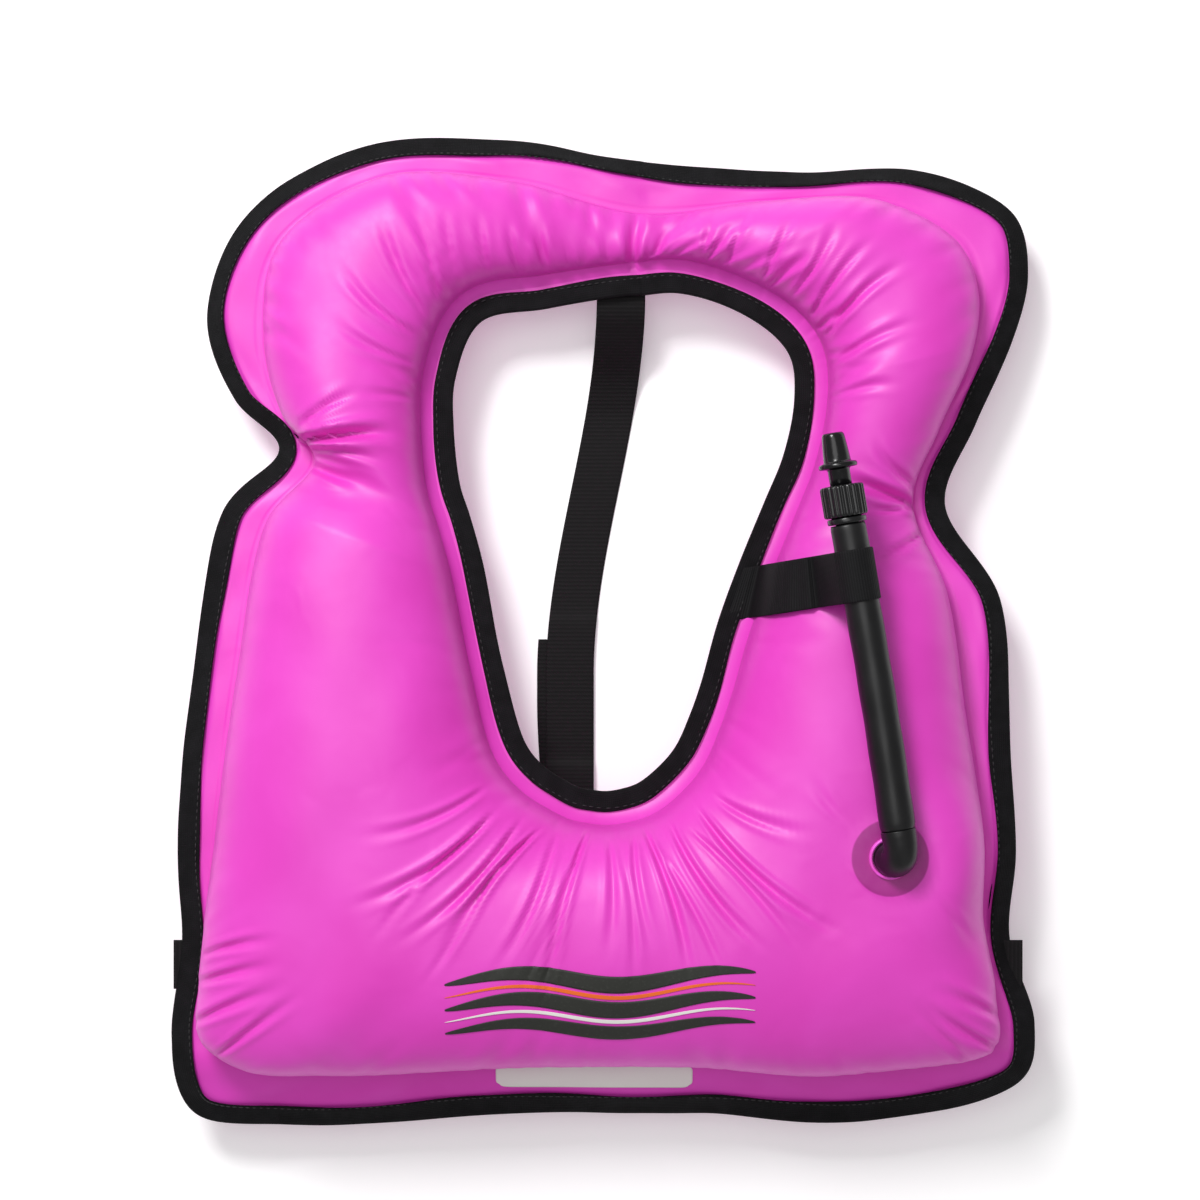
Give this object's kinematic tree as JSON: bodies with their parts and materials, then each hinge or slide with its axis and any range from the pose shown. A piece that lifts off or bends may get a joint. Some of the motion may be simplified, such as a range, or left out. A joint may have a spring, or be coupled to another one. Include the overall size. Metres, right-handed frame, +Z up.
{
  "type": "inflatable snorkelling vest",
  "caption": "Horse-collar snorkelling vest, inflated and lying on its back: welded two-panel air chamber, oral inflator hose with locking valve, collar strap and waist belt.",
  "frame": {"origin": "middle of the vest's footprint, on the ground it lies on", "axes": "+Z up through the chest, +Y towards the head end, +X towards the inflator side"},
  "size_m": [0.447, 0.5154, 0.1191],
  "materials": {
    "chamber_fabric": "bright pink coated nylon taffeta, satin sheen, fine plain weave",
    "binding_tape": "black woven binding tape, matte",
    "print_ink": "black screen-printed ink, satin",
    "name_film": "white screen-printed ink, satin",
    "flange_film": "moulded film disc seen through the pink panel",
    "hose_rubber": "black moulded rubber, satin",
    "valve_plastic": "black moulded plastic, soft gloss",
    "mouthpiece_plastic": "charcoal moulded plastic, soft gloss",
    "seal_rubber": "black nitrile rubber",
    "poppet_plastic": "grey acetal",
    "spring_steel": "stainless spring wire",
    "elastic_band": "black woven elastic, matte",
    "webbing": "black ribbed polypropylene webbing",
    "buckle_plastic": "black acetal, fine spark texture"
  },
  "bodies": {
    "vest": {"front_panel": "chamber_fabric", "back_panel": "chamber_fabric", "outer_binding": "binding_tape", "neck_binding": "binding_tape", "chest_print": "print_ink", "name_box": "name_film", "valve_flange": "flange_film", "hose_elbow": "hose_rubber", "collar_strap": "webbing", "buckle_socket": "buckle_plastic", "buckle_plug": "buckle_plastic", "waist_belt": "webbing", "short_belt_strap": "webbing"},
    "hose": {"inflation_hose": "hose_rubber", "valve_body": "valve_plastic", "return_spring": "spring_steel", "retainer_loop": "elastic_band"},
    "mouthpiece_stem": {"mouthpiece": "mouthpiece_plastic", "stem_oring": "seal_rubber", "valve_poppet": "poppet_plastic"},
    "ring": {"lock_ring": "valve_plastic", "lock_ring_oring": "seal_rubber"},
    "slider": {"strap_slider": "buckle_plastic"},
    "arm_head_side": {"latch_arm_head_side": "buckle_plastic"},
    "arm_hem_side": {"latch_arm_hem_side": "buckle_plastic"}
  },
  "joints": [
    {"name": "hose_lift", "type": "hinge", "parent": "vest", "child": "hose", "pos_m": [0.14666, -0.09797, 0.11735], "axis": [0.9866, 0.1633, 0], "range_deg": [0, 12], "stiffness_Nm_per_rad": 1.5},
    {"name": "mouthpiece_press", "type": "slide", "parent": "hose", "child": "mouthpiece_stem", "axis": [0.1633, -0.9866, 0], "range_m": [0, 0.0042], "stiffness_N_per_m": 1500, "deforming": ["return_spring"]},
    {"name": "lock_ring_turn", "type": "hinge", "parent": "hose", "child": "ring", "pos_m": [0.1209, 0.05761, 0.10805], "axis": [-0.1633, 0.9866, 0], "range_deg": [0, 360]},
    {"name": "slider_slide", "type": "slide", "parent": "vest", "child": "slider", "axis": [0, 1, 0], "range_m": [-0.02, 0.02]},
    {"name": "arm_head_side_press", "type": "hinge", "parent": "vest", "child": "arm_head_side", "pos_m": [-0.119, -0.16223, 0.005], "axis": [0, 0, 1], "range_deg": [0, 10], "stiffness_Nm_per_rad": 0.1},
    {"name": "arm_hem_side_press", "type": "hinge", "parent": "vest", "child": "arm_hem_side", "pos_m": [-0.119, -0.18323, 0.005], "axis": [0, 0, 1], "range_deg": [-10, 0], "stiffness_Nm_per_rad": 0.1}
  ],
  "couplings": [
    {"joint": "arm_hem_side_press", "follows": "arm_head_side_press", "ratio": -1}
  ]
}
